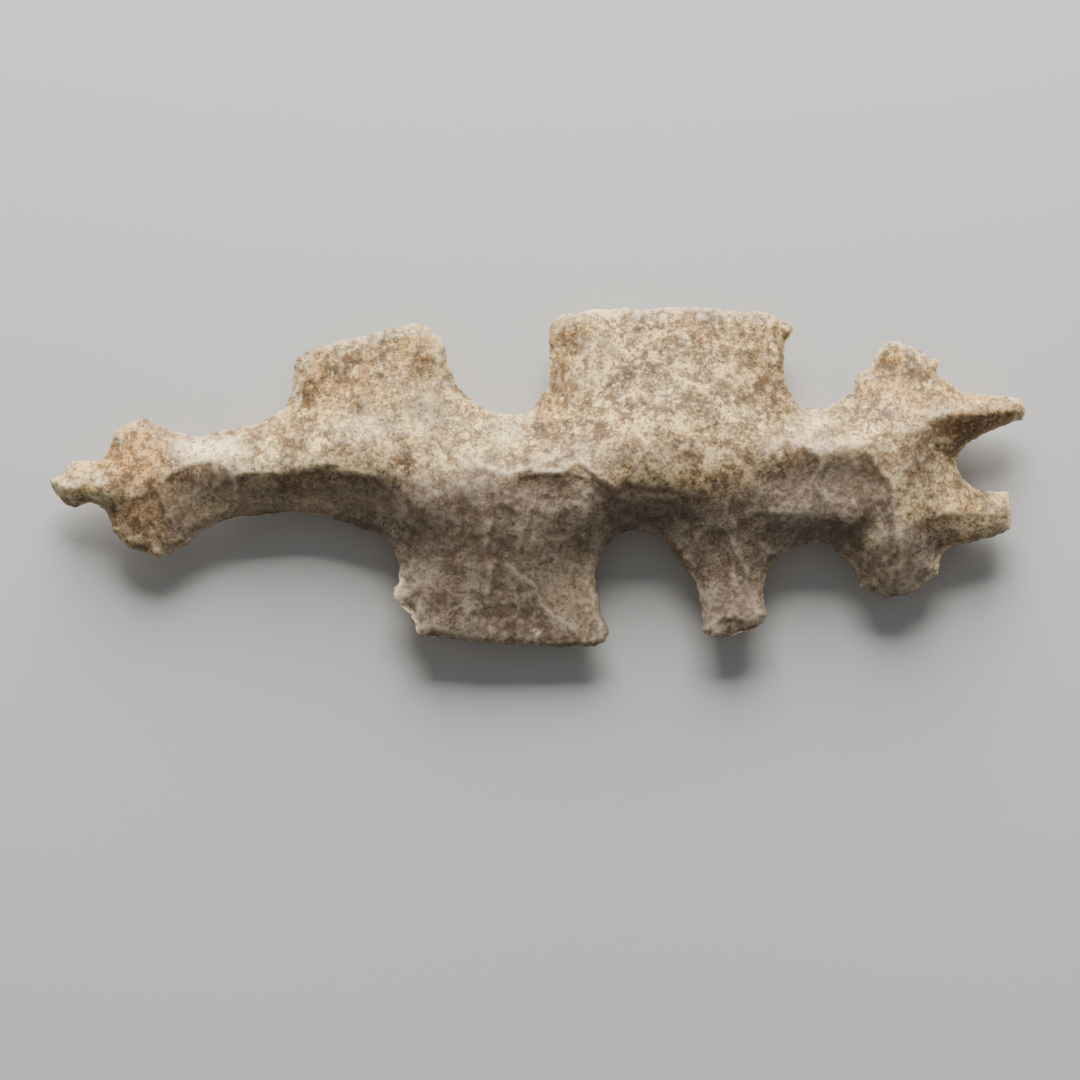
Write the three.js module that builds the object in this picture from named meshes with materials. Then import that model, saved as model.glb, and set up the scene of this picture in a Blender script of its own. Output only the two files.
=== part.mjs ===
import * as THREE from "three";

// A flaked chert eccentric: one bifacially knapped stone in the outline of a long-bodied animal, lying on
// its back face. X runs from the snout to the forked tail, Y across the body, Z up, away from the surface
// that it lies on. The origin is under the middle of the outline, on that surface. Sizes are in
// millimetres.

const LENGTH = 293; // snout to tail tip
const FRONT_HEIGHT = 15.5; // highest crest of the worked face, above the plane of the edge
const BACK_DEPTH = 13.8; // lowest crest of the back face, below that plane, before the resting facet came off
const FACET_CUT = 2.8; // how much the resting facet takes off that crest
const EDGE_BEVEL = 2.6; // height that each face gains in the blunt strip along the edge
const EDGE_BEVEL_WIDTH = 2.2; // how fast that strip rises
const EDGE_SWING = 1.1; // how far the edge line swings above and below its plane
const EDGE_SWING_SPAN = 100; // from one swing to the next
const DEEPEST_SHARE = 0.55; // no scar takes more than this share of the stone above the edge
const SCAR_SKEW = 0.6; // 0 is an even dish, 1 is steep where the scar heads and flat at its other end
const ARRIS_SLOW_SIDE = 6; // how far an arris falls away on the left of its path
const ARRIS_STEEP_SIDE = 1.8; // and on the right
const HELD_STEP = 6; // spacing of the crest points that hold up the sheet of each face
const EDGE_STEP = 2.6; // spacing of the outline's points
const EDGE_INSET = 1.4; // the ring of points just inside the outline
const ARRIS_STEP = 2.4; // spacing of the points along the arrises
const ARRIS_FOOT = 2.4; // from an arris to the foot of its steep side
const MESH_STEP = 3.5; // spacing of the points between them

// The free form is drawn on a grid of squares, with its origin in the middle of the outline and Y towards
// the back.
const SQUARES_LONG = 976;
const SQUARE = LENGTH / SQUARES_LONG;

// The outline, clockwise from the tip of the snout, in squares. Each stretch is one smooth curve, and the
// stretches meet at the corners that the knapper left.
const OUTLINE = {
  snoutTip: [[-488, -2], [-477, 3]],
  snoutTop: [[-477, 3], [-468, 15], [-460, 17], [-437, 17]],
  brow: [[-437, 17], [-430, 28], [-420, 47], [-401, 57], [-391, 59]],
  nape: [[-391, 59], [-378, 51], [-360, 46], [-339, 41], [-316, 48], [-281, 54], [-253, 70]],
  humpFront: [[-253, 70], [-246, 86], [-244, 105], [-242, 118], [-226, 129]],
  humpTop: [[-226, 129], [-213, 133], [-186, 139], [-158, 146], [-136, 151], [-121, 154]],
  humpBack: [[-121, 154], [-103, 146], [-92, 129], [-91, 116]],
  saddle: [[-91, 116], [-79, 92], [-66, 78], [-50, 68], [-27, 63], [-6, 67], [3, 80], [11, 89]],
  blockFront: [[11, 89], [12, 110], [12, 130], [11, 148]],
  blockCorner: [[11, 148], [17, 157], [27, 164], [39, 163]],
  blockTop: [
    [39, 163], [50, 169], [70, 168], [94, 171], [105, 168], [130, 170], [160, 171], [190, 167], [226, 166],
  ],
  blockTip: [[226, 166], [241, 159], [252, 153], [257, 146]],
  blockBack: [[257, 146], [248, 134], [246, 112], [248, 97], [254, 81]],
  rearNotch: [[254, 81], [263, 71], [283, 68], [302, 78], [316, 88]],
  lobeFront: [[316, 88], [317, 101], [331, 110], [340, 127], [350, 137]],
  lobeTop: [[350, 137], [361, 136], [382, 127], [400, 117]],
  hornRoot: [[400, 117], [400, 104], [410, 97], [427, 86], [452, 83], [478, 80]],
  hornTip: [[478, 80], [488, 70], [484, 58]],
  hornUnder: [[484, 58], [464, 51], [440, 40], [425, 29]],
  fork: [[425, 29], [418, 20], [422, 4], [435, -9], [447, -13], [471, -14]],
  tailEnd: [[471, -14], [473, -32], [472, -51]],
  tailUnder: [[472, -51], [450, -61], [417, -68], [404, -79]],
  rearFin: [[404, -79], [401, -90], [400, -98]],
  rearLobe: [[400, -98], [387, -104], [381, -112], [362, -118], [344, -121], [332, -114], [325, -111]],
  rearLobeFront: [[325, -111], [315, -93], [308, -82], [302, -79]],
  rearArch: [[302, -79], [291, -68], [272, -66], [251, -73], [234, -87], [226, -108], [228, -137]],
  hindFoot: [[228, -137], [222, -147], [208, -154], [181, -160], [164, -153]],
  legArchBack: [[164, -153], [162, -122], [155, -100], [143, -86], [132, -71]],
  legArch: [[132, -71], [116, -58], [98, -53], [82, -57], [68, -70]],
  legArchFront: [[68, -70], [60, -88], [58, -107], [64, -135], [72, -156]],
  footHeel: [[72, -156], [70, -163], [58, -169]],
  footSole: [[58, -169], [20, -169], [-30, -167], [-62, -165], [-81, -161], [-107, -160]],
  footToe: [[-107, -160], [-119, -157], [-123, -143]],
  toeBreak: [[-123, -143], [-132, -131], [-142, -122], [-143, -112], [-138, -103]],
  throat: [[-138, -103], [-141, -80], [-154, -60], [-176, -51], [-192, -45]],
  neckUnder: [[-192, -45], [-218, -38], [-248, -35], [-276, -38], [-306, -40], [-321, -47], [-340, -57]],
  jaw: [[-340, -57], [-353, -69], [-370, -76], [-380, -81]],
  chin: [[-380, -81], [-398, -73], [-412, -67], [-425, -53]],
  cheek: [[-425, -53], [-430, -38], [-437, -29], [-448, -25]],
  snoutUnder: [[-448, -25], [-464, -30], [-476, -23], [-485, -11], [-488, -2]],
};

// The crests of the worked face, in squares, each point with its height as a share of FRONT_HEIGHT. The
// first runs the length of the body, and the others hold up the tail, the legs and the terrace above the
// rear arch.
const FRONT_CRESTS = [
  [[-474, -8, 0.22], [-440, -19, 0.28], [-400, -16, 0.35], [-377, -9, 0.41], [-358, 7, 0.5],
    [-333, 14, 0.56], [-311, 16, 0.6], [-285, 6, 0.64], [-248, 6, 0.7], [-211, 9, 0.75], [-153, 6, 0.81],
    [-106, 6, 0.85], [-70, 12, 0.88], [-20, 8, 0.92], [8, 10, 0.96], [33, 12, 0.98], [66, 0, 0.98],
    [114, -6, 0.97], [165, -10, 0.95], [203, 0, 0.92], [236, 16, 0.9], [262, 28, 0.88], [313, 29, 0.86],
    [340, 10, 0.82], [352, -12, 0.77], [356, -38, 0.7], [358, -70, 0.56], [361, -98, 0.34]],
  [[340, 10, 0.82], [372, 44, 0.68], [396, 62, 0.56], [430, 65, 0.46], [475, 66, 0.32]],
  [[356, -38, 0.7], [400, -37, 0.5], [440, -35, 0.36], [467, -36, 0.28]],
  [[352, -12, 0.77], [376, 0, 0.64], [390, 6, 0.54]],
  [[-110, -30, 0.78], [-50, -32, 0.83], [10, -30, 0.86], [46, -36, 0.82]],
  [[244, 2, 0.76], [262, -2, 0.74], [284, 0, 0.74], [314, -3, 0.73]],
  [[203, -33, 0.68], [248, -35, 0.63], [290, -38, 0.6], [320, -48, 0.56]],
];
// The crest of the back face, with shares of BACK_DEPTH.
const BACK_CRESTS = [
  [[-470, -6, 0.28], [-400, -8, 0.5], [-330, 2, 0.6], [-250, 8, 0.74], [-150, 12, 0.9], [-60, 6, 0.97],
    [40, 0, 1], [130, -6, 0.98], [220, -10, 0.92], [300, -4, 0.83], [360, -2, 0.74], [420, -30, 0.52],
    [466, -34, 0.38]],
  [[360, -2, 0.74], [400, 50, 0.57], [470, 66, 0.33]],
];

// The large flake scars of each face: centre, heading in degrees, half length and half width in squares,
// and depth in millimetres. Where two of them meet, or one meets the whole surface, they leave a sharp
// arris.
const FRONT_SCARS = [
  [-462, -16, 90, 12, 26, 0.6], // mouth
  [-436, 16, -90, 12, 20, 0.4], // bridge of the snout
  [-392, -48, 70, 36, 30, 0.8], // jaw
  [-352, -60, 80, 26, 22, 0.6], // chin
  [-402, 36, 30, 22, 16, 0.5], // brow
  [-334, -28, 90, 47, 42, 1.5], // neck, front
  [-222, -28, 90, 38, 88, 1.4], // neck, rear
  [-190, 80, -85, 66, 52, 0.5], // hump
  [-100, 70, -75, 70, 34, 0.5], // hump, rear
  [-32, 36, -95, 36, 35, 1], // saddle
  [-98, -86, 82, 70, 50, 0.6], // fore leg, front
  [-32, -78, 85, 60, 26, 0.45], // fore leg, middle
  [20, -112, 125, 50, 48, 0.7], // fore leg, rear
  [-22, -149, 90, 24, 66, 0.5], // fore foot
  [-128, -136, 152, 12, 34, 0.7], // toe
  [6, -14, 90, 18, 38, 1], // step below the arched crest
  [62, -34, 50, 28, 44, 0.7], // beside the arched crest
  [112, -44, 86, 24, 56, 1], // above the leg arch
  [84, 96, -92, 80, 66, 0.5], // block, front
  [196, 90, -86, 84, 56, 0.6], // block, rear
  [250, 10, 76, 26, 30, 0.6], // scallop behind the block
  [314, 4, 92, 36, 32, 0.6], // scallop before the tail
  [172, -98, 80, 62, 26, 0.9], // hind leg, front
  [214, -96, 100, 58, 22, 0.7], // hind leg, rear
  [194, -152, 90, 12, 34, 0.8], // hind foot
  [268, -60, 90, 21, 60, 1], // above the rear arch
  [322, -84, 100, 42, 30, 1], // rear lobe, front
  [380, -80, 78, 42, 26, 0.9], // rear lobe, rear
  [366, 96, -75, 44, 32, 0.6], // upper lobe
  [298, 56, -60, 34, 30, 0.5], // rear notch
  [434, 50, 92, 16, 44, 0.8], // upper prong, lower side
  [384, -12, 60, 26, 30, 0.4], // root of the fork
  [437, -21, -90, 13, 44, 0.5], // lower prong, upper side
  [428, -51, 90, 15, 48, 0.5], // lower prong, lower side
];
const BACK_SCARS = [
  [-420, -6, 30, 44, 24, 1.2],
  [-330, 22, 80, 40, 44, 1.8],
  [-250, -8, 100, 44, 52, 1.9],
  [-180, 76, 70, 62, 44, 1.8],
  [-104, 84, 110, 66, 34, 1.5],
  [-100, -92, 96, 74, 46, 2],
  [-10, -84, 80, 76, 50, 1.9],
  [62, -96, 70, 60, 26, 1.4],
  [60, 96, 95, 74, 48, 1.9],
  [160, 90, 84, 84, 54, 2],
  [228, 104, 104, 60, 30, 1.5],
  [190, -84, 92, 74, 30, 1.8],
  [290, 24, 60, 48, 40, 1.6],
  [346, -74, 100, 48, 36, 1.7],
  [362, 84, 80, 48, 34, 1.6],
  [428, 50, 5, 52, 17, 1.4],
  [426, -40, 10, 54, 20, 1.4],
];

// The arrises that stand up between the scars of the worked face: height in millimetres and path in
// squares. Each is steep on the right of its path and falls slowly on the left.
const ARRISES = {
  saddle: { height: 0.5, path: [[-68, 26], [-52, 10], [-34, 3], [-16, 6], [4, 13], [28, 25], [48, 30]] },
  arch: { height: 0.9, path: [[28, 12], [40, 11], [51, 3], [63, -5], [76, -10], [86, -15]] },
  archEnd: { height: 0.5, path: [[83, -6], [98, -7], [114, -10], [130, -8], [156, -18]] },
  foreLeg: { height: 0.6, path: [[39, -154], [16, -138], [1, -118], [-4, -106], [-25, -90], [-42, -83]] },
  terrace: { height: 0.55, path: [[203, -33], [232, -35], [268, -36], [300, -41], [320, -49]] },
  scallop: { height: 0.45, path: [[246, 30], [261, 29], [276, 22], [281, 15], [271, -4], [264, -10]] },
  tail: { height: 0.6, path: [[297, 24], [315, 29], [330, 22], [340, 4], [350, -8], [352, -26], [361, -95]] },
  prong: { height: 0.5, path: [[338, 44], [372, 44], [390, 58], [405, 63], [430, 66]] },
};

const EDGE_SCAR_SEEDS = { front: 15, back: 13 };
const EDGE_SCAR_SPACING = 15; // along the outline, in millimetres
const EDGE_SCAR_LENGTH = 9; // half length, across the edge
const EDGE_SCAR_DEPTH = 1.3;

// Repeatable numbers from 0 to 1.
function seeded(seed) {
  let state = seed;
  return () => {
    state = (state * 16807) % 2147483647;
    return state / 2147483647;
  };
}

// A place on the drawing, in squares, as a point in millimetres.
function place([x, y]) {
  return new THREE.Vector2(x, y).multiplyScalar(SQUARE);
}

// The outline as evenly spaced points in millimetres, with every corner kept.
function outlinePoints() {
  const points = [];
  for (const stretch of Object.values(OUTLINE)) {
    const curve = new THREE.SplineCurve(stretch.map(place));
    const steps = Math.max(1, Math.round(curve.getLength() / EDGE_STEP));
    points.push(...curve.getSpacedPoints(steps).slice(0, -1));
  }
  return points;
}

// The point of a segment that is nearest to p: its distance, and how far along the segment it lies.
function nearestOnSegment(p, a, b) {
  const along = new THREE.Vector2().subVectors(b, a);
  const offset = new THREE.Vector2().subVectors(p, a);
  const share = THREE.MathUtils.clamp(offset.dot(along) / along.lengthSq(), 0, 1);
  return { distance: offset.addScaledVector(along, -share).length(), share };
}

function lineDistance(p, segments) {
  return Math.min(...segments.map(({ start, end }) => nearestOnSegment(p, start, end).distance));
}

function isInside(p, rim) {
  let inside = false;
  rim.forEach((a, i) => {
    const b = rim[(i + 1) % rim.length];
    if (a.y > p.y !== b.y > p.y && p.x < a.x + ((p.y - a.y) / (b.y - a.y)) * (b.x - a.x)) inside = !inside;
  });
  return inside;
}

function rimSegments(rim) {
  return rim.map((start, i) => ({ start, end: rim[(i + 1) % rim.length] }));
}

// A path in squares as segments in millimetres.
function pathSegments(path) {
  const points = path.map(place);
  return points.slice(1).map((end, i) => ({ start: points[i], end }));
}

// Points along the crests in even steps, each with its share of the full height.
function crestPoints(crests) {
  const points = [];
  for (const crest of crests)
    for (let i = 0; i + 1 < crest.length; i++) {
      const [start, end] = [place(crest[i]), place(crest[i + 1])];
      const steps = Math.max(1, Math.round(start.distanceTo(end) / HELD_STEP));
      for (let k = 0; k <= steps; k++) {
        const { x, y } = start.clone().lerp(end, k / steps);
        points.push(new THREE.Vector3(x, y, THREE.MathUtils.lerp(crest[i][2], crest[i + 1][2], k / steps)));
      }
    }
  const apart = (p, q) => Math.hypot(p.x - q.x, p.y - q.y) > 0.2 * HELD_STEP;
  return points.filter((p, i) => points.slice(0, i).every((q) => apart(p, q)));
}

// How much a held point q lifts a thin springy sheet at p.
function bend(p, q) {
  const squared = Math.max(((p.x - q.x) ** 2 + (p.y - q.y) ** 2) / (LENGTH / 2) ** 2, 1e-12);
  return 0.5 * squared * Math.log(squared);
}

// The height at any p of a thin springy sheet that passes through the held points, whose z is their height.
// The lift of each held point comes from one linear equation a point, and three more for the sheet's level
// and tilt.
function thinSheet(held) {
  const plane = (p) => [1, p.x / LENGTH, p.y / LENGTH];
  const rows = held.map((p) => [...held.map((q) => bend(p, q)), ...plane(p), p.z]);
  for (let k = 0; k < 3; k++) rows.push([...held.map((q) => plane(q)[k]), 0, 0, 0, 0]);
  const size = rows.length;
  for (let column = 0; column < size; column++) {
    let pivot = column;
    for (let i = column + 1; i < size; i++)
      if (Math.abs(rows[i][column]) > Math.abs(rows[pivot][column])) pivot = i;
    [rows[column], rows[pivot]] = [rows[pivot], rows[column]];
    for (let i = column + 1; i < size; i++) {
      const factor = rows[i][column] / rows[column][column];
      for (let j = column; j <= size; j++) rows[i][j] -= factor * rows[column][j];
    }
  }
  const lift = new Array(size).fill(0);
  for (let i = size - 1; i >= 0; i--) {
    let rest = rows[i][size];
    for (let j = i + 1; j < size; j++) rest -= rows[i][j] * lift[j];
    lift[i] = rest / rows[i][i];
  }
  const lifts = (p) => [...held.map((q) => bend(p, q)), ...plane(p)].map((value, i) => value * lift[i]);
  return (p) => lifts(p).reduce((sum, value) => sum + value, 0);
}

// How deep a scar lies below the surface at p: a shallow dish, steepest at the end that it heads for.
function scarDepth(p, scar) {
  const dx = p.x - scar.x;
  const dy = p.y - scar.y;
  const along = (dx * scar.cos + dy * scar.sin) / scar.halfLength;
  const across = (-dx * scar.sin + dy * scar.cos) / scar.halfWidth;
  return scar.depth * Math.max(0, 1 - along * along - across * across) * (1 + SCAR_SKEW * along);
}

function makeScar(x, y, heading, halfLength, halfWidth, depth) {
  return { x, y, cos: Math.cos(heading), sin: Math.sin(heading), halfLength, halfWidth, depth };
}

function namedScars(rows) {
  return rows.map(([x, y, heading, halfLength, halfWidth, depth]) =>
    makeScar(
      x * SQUARE,
      y * SQUARE,
      THREE.MathUtils.degToRad(heading),
      halfLength * SQUARE,
      halfWidth * SQUARE,
      depth,
    ),
  );
}

// Short scars struck inwards from the edge, all the way round.
function edgeScars(rim, seed) {
  const random = seeded(seed);
  const stride = Math.max(1, Math.round(EDGE_SCAR_SPACING / EDGE_STEP));
  const scars = [];
  for (let i = 0; i < rim.length; i += stride) {
    const before = rim[(i + rim.length - 1) % rim.length];
    const after = rim[(i + 1) % rim.length];
    const heading = Math.atan2(after.y - before.y, after.x - before.x) - Math.PI / 2 + (random() - 0.5) * 0.7;
    const halfLength = EDGE_SCAR_LENGTH * (0.6 + 0.8 * random());
    const halfWidth = EDGE_SCAR_SPACING * (0.4 + 0.35 * random());
    const reach = halfLength * 0.55;
    const x = rim[i].x + Math.cos(heading) * reach;
    const y = rim[i].y + Math.sin(heading) * reach;
    scars.push(makeScar(x, y, heading, halfLength, halfWidth, EDGE_SCAR_DEPTH * (0.5 + random())));
  }
  return scars;
}

// How high the arrises stand at p. Each fades towards its ends.
function arrisHeight(p) {
  let total = 0;
  for (const { height, path } of Object.values(ARRISES)) {
    const segments = pathSegments(path);
    const near = segments.map(({ start, end }) => nearestOnSegment(p, start, end));
    const i = near.reduce((best, { distance }, k) => (distance < near[best].distance ? k : best), 0);
    const { start, end } = segments[i];
    const onLeft = (end.x - start.x) * (p.y - start.y) - (end.y - start.y) * (p.x - start.x) > 0;
    const travelled = (i + near[i].share) / segments.length;
    const strength = Math.min(1, 4 * Math.min(travelled, 1 - travelled) + 0.15);
    total += height * strength * Math.exp(-near[i].distance / (onLeft ? ARRIS_SLOW_SIDE : ARRIS_STEEP_SIDE));
  }
  return total;
}

// The edge is not level: it swings slowly up and down round the stone.
function edgeLevel(p) {
  const turn = (2 * Math.PI) / EDGE_SWING_SPAN;
  return BACK_DEPTH - FACET_CUT + EDGE_SWING * Math.sin(turn * p.x + 0.6) * Math.cos(1.3 * turn * p.y + 0.4);
}

// The height of one face at any p, fromEdge away from the outline: a sheet from the edge up to the crests,
// a blunt strip along the edge, and the flake scars cut into both. Side is 1 for the front and -1 for the
// back.
function faceSurface(rim, crests, fullHeight, side, scars) {
  const level = BACK_DEPTH - FACET_CUT;
  const held = rim.filter((_, i) => i % 2 === 0).map((p) => new THREE.Vector3(p.x, p.y, edgeLevel(p)));
  for (const { x, y, z } of crestPoints(crests))
    held.push(new THREE.Vector3(x, y, level + side * (z * fullHeight - EDGE_BEVEL)));
  const sheet = thinSheet(held);
  return (p, fromEdge) => {
    const bevel = EDGE_BEVEL * (1 - Math.exp(-fromEdge / EDGE_BEVEL_WIDTH));
    const bare = sheet(p);
    const whole = Math.max(0, side * (bare - level) + bevel);
    const depth = Math.max(0, ...scars.map((scar) => scarDepth(p, scar)));
    return bare + side * (bevel - Math.min(depth, DEEPEST_SHARE * whole));
  };
}

// Points inside the outline: a ring along it, then rows along the arrises, then a triangular grid in
// between. Each new point keeps clear of the ones that were there before it.
function insidePoints(rim, edge) {
  const arrises = Object.values(ARRISES).flatMap(({ path }) => pathSegments(path));
  const kept = [];
  const add = (p, clearOfEdge, clearOfPoints) => {
    if (!isInside(p, rim) || lineDistance(p, edge) < clearOfEdge) return;
    if (kept.every((q) => q.distanceTo(p) > clearOfPoints)) kept.push(p);
  };
  rim.forEach((p, i) => {
    const before = rim[(i + rim.length - 1) % rim.length];
    const after = rim[(i + 1) % rim.length];
    const along = new THREE.Vector2().subVectors(after, before).normalize();
    const inwards = new THREE.Vector2(along.y, -along.x);
    add(p.clone().addScaledVector(inwards, EDGE_INSET), 0.6 * EDGE_INSET, 0.6 * EDGE_STEP);
  });
  for (const { start, end } of arrises) {
    const steps = Math.max(1, Math.round(start.distanceTo(end) / ARRIS_STEP));
    const down = new THREE.Vector2(end.y - start.y, start.x - end.x).setLength(ARRIS_FOOT);
    for (let k = 0; k <= steps; k++) {
      const p = start.clone().lerp(end, k / steps);
      add(p, EDGE_INSET, 0.5 * ARRIS_STEP);
      add(p.add(down), EDGE_INSET, 0.8 * ARRIS_STEP);
    }
  }
  const box = new THREE.Box2().setFromPoints(rim);
  const rowStep = (MESH_STEP * Math.sqrt(3)) / 2;
  const rows = Math.ceil((box.max.y - box.min.y) / rowStep);
  for (let row = 0; row < rows; row++)
    for (let x = box.min.x + (row % 2) * (MESH_STEP / 2); x < box.max.x; x += MESH_STEP) {
      const p = new THREE.Vector2(x, box.min.y + row * rowStep);
      if (lineDistance(p, arrises) > 0.45 * MESH_STEP) add(p, 0.8 * EDGE_INSET, 0.6 * MESH_STEP);
    }
  return kept;
}

// Delaunay triangles over the points, by adding them one at a time.
function delaunay(points) {
  const far = 1e4;
  const around = [new THREE.Vector2(-far, -far), new THREE.Vector2(far, -far), new THREE.Vector2(0, far)];
  const all = [...points, ...around];
  const circled = (a, b, c) => {
    const [p, q, r] = [all[a], all[b], all[c]];
    const d = 2 * (p.x * (q.y - r.y) + q.x * (r.y - p.y) + r.x * (p.y - q.y));
    const x = (p.lengthSq() * (q.y - r.y) + q.lengthSq() * (r.y - p.y) + r.lengthSq() * (p.y - q.y)) / d;
    const y = (p.lengthSq() * (r.x - q.x) + q.lengthSq() * (p.x - r.x) + r.lengthSq() * (q.x - p.x)) / d;
    return { corners: [a, b, c], x, y, radiusSq: (x - p.x) ** 2 + (y - p.y) ** 2 };
  };
  let triangles = [circled(points.length, points.length + 1, points.length + 2)];
  points.forEach((p, index) => {
    const open = new Map();
    triangles = triangles.filter((t) => {
      if ((p.x - t.x) ** 2 + (p.y - t.y) ** 2 >= t.radiusSq) return true;
      for (let k = 0; k < 3; k++) {
        const [a, b] = [t.corners[k], t.corners[(k + 1) % 3]];
        if (!open.delete(`${b},${a}`)) open.set(`${a},${b}`, [a, b]);
      }
      return false;
    });
    for (const [a, b] of open.values()) triangles.push(circled(a, b, index));
  });
  return triangles.map((t) => t.corners).filter((corners) => corners.every((i) => i < points.length));
}

// The stone: a front and a back surface over the same points, which share the outline's points as the edge.
function buildStone() {
  const rim = outlinePoints();
  const edge = rimSegments(rim);
  const frontScars = [...namedScars(FRONT_SCARS), ...edgeScars(rim, EDGE_SCAR_SEEDS.front)];
  const backScars = [...namedScars(BACK_SCARS), ...edgeScars(rim, EDGE_SCAR_SEEDS.back)];
  const frontSurface = faceSurface(rim, FRONT_CRESTS, FRONT_HEIGHT, 1, frontScars);
  const backSurface = faceSurface(rim, BACK_CRESTS, BACK_DEPTH, -1, backScars);
  const points = [...rim, ...insidePoints(rim, edge)];
  const flat = delaunay(points).filter((corners) => {
    const middle = corners.reduce((sum, i) => sum.add(points[i]), new THREE.Vector2()).divideScalar(3);
    return isInside(middle, rim) && corners.some((i) => i >= rim.length);
  });

  const front = [];
  const back = [];
  points.forEach((p, i) => {
    const fromEdge = lineDistance(p, edge);
    front.push(i < rim.length ? edgeLevel(p) : frontSurface(p, fromEdge) + arrisHeight(p));
    back.push(Math.max(0, backSurface(p, fromEdge)));
  });

  const positions = [];
  points.forEach((p, i) => positions.push(p.x, p.y, front[i]));
  const backIndex = points.map((p, i) => {
    if (i < rim.length) return i;
    positions.push(p.x, p.y, back[i]);
    return positions.length / 3 - 1;
  });
  const faces = [];
  for (const [a, b, c] of flat) faces.push(a, b, c, backIndex[a], backIndex[c], backIndex[b]);
  const geometry = new THREE.BufferGeometry();
  geometry.setAttribute("position", new THREE.Float32BufferAttribute(positions, 3));
  geometry.setIndex(faces);
  geometry.computeBoundingBox();
  const middle = geometry.boundingBox.getCenter(new THREE.Vector3());
  geometry.translate(-middle.x, -middle.y, 0);
  geometry.computeVertexNormals();
  return geometry;
}

const chert = new THREE.MeshStandardMaterial({ color: 0xc9b493, roughness: 0.72, metalness: 0 });

const eccentric = new THREE.Group();
const stone = new THREE.Mesh(buildStone(), chert);
stone.name = "chert_eccentric";
eccentric.add(stone);

export default eccentric;
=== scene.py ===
import math

import bpy
import numpy as np
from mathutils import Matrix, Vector, geometry, kdtree


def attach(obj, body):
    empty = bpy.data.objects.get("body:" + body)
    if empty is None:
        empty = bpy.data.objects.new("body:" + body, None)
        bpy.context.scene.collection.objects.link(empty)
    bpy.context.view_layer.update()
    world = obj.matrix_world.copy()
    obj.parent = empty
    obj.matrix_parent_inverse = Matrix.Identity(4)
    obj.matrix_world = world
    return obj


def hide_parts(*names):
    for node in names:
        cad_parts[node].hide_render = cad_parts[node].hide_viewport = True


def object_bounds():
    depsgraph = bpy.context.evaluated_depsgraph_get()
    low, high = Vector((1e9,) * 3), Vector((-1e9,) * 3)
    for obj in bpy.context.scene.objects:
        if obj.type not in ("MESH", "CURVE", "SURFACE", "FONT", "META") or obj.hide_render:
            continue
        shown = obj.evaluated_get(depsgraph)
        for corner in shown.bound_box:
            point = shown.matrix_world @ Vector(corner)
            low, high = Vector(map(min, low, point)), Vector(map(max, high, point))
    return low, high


# A flaked chert eccentric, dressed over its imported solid. The solid gives the outline and the level of the
# edge. This script cuts the flake scars again on a fine mesh, adds the small relief, and colours the stone.
# Sizes are in metres.

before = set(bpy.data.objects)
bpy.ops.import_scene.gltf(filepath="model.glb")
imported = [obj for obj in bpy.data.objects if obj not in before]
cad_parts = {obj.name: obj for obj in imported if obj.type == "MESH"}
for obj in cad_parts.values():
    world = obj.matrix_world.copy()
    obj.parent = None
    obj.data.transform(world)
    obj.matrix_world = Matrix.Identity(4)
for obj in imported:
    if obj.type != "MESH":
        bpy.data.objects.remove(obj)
cad_low, cad_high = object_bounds()

NODE = "chert_eccentric"
LENGTH = cad_high.x - cad_low.x
SQUARE = LENGTH / 976  # the free form is drawn on squares, as shares of the stone's length
SQUARE_SHIFT_Y = -0.97 * SQUARE  # from the middle of the drawing to the middle of the outline
MM = 0.001

FRONT_HEIGHT = 15.5 * MM  # highest crest of the worked face, above the plane of the edge
BACK_DEPTH = 13.8 * MM  # lowest crest of the back face, below that plane
EDGE_BEVEL = 1.7 * MM  # height that each face gains in the blunt strip along the edge
EDGE_BEVEL_WIDTH = 1.5 * MM
LEAST_HEIGHT = 0.2 * MM  # of a face above the plane of the edge, for the scars' depth
DEEPEST_SHARE = 0.6  # no scar takes more than this share of the stone above the edge
SCAR_SKEW = 0.6  # 0 is an even dish, 1 is steep at the end that the scar heads for and flat at the other
ARRIS_SLOW_SIDE = 6 * MM
ARRIS_STEEP_SIDE = 1.3 * MM
ARRIS_REACH = 20 * MM  # an arris counts no further away than this
ARRIS_END_STRENGTH = 0.15  # of an arris at its ends
ARRIS_END_RISE = 4  # how fast it gets stronger from there, per length of the arris
ARRIS_LIGHT_AND_SHADE_BOLDNESS = 1.5  # of its painted highlight line and painted shadow line, per millimetre of its height, up to 1
ARRIS_HIGHLIGHT_WIDTH = 0.55 * MM  # width of the painted highlight along an arris
SHADOW_LINE_AWAY = 1.1 * MM  # from an arris to the painted shadow line on its steep side
SHADOW_LINE_WIDTH = 0.8 * MM

# Families of small scars: spacing along the edge, or number in the box around each face, then half length and
# depth.
EDGE_SCARS = (11 * MM, 8 * MM, 0.42 * MM)
EDGE_NIBBLES = (2.9 * MM, 2 * MM, 0.13 * MM)
MEDIUM_SCARS = (240, 6 * MM, 0.26 * MM)
SMALL_SCARS = (1800, 2 * MM, 0.13 * MM)
MEDIUM_SHARE = 0.7  # of their depth that the medium scars keep
# How far the scars of a family differ, as the least and the most share of its measures.
EDGE_SCAR_LENGTHS = (0.6, 1.4)
EDGE_SCAR_WIDTHS = (0.42, 0.75)  # of the spacing
EDGE_SCAR_DEPTHS = (0.4, 1.5)
EDGE_SCAR_GAPS = (0.6, 1.4)
EDGE_SCAR_TURN = 0.45  # most radians between a scar's heading and straight in
EDGE_SCAR_INSET = 0.5  # of its half length, from the edge to its middle
SCATTERED_LENGTHS = (0.5, 1.5)
SCATTERED_WIDTHS = (0.45, 0.85)  # of the half length
SCATTERED_DEPTHS = (0.3, 1.2)
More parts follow.
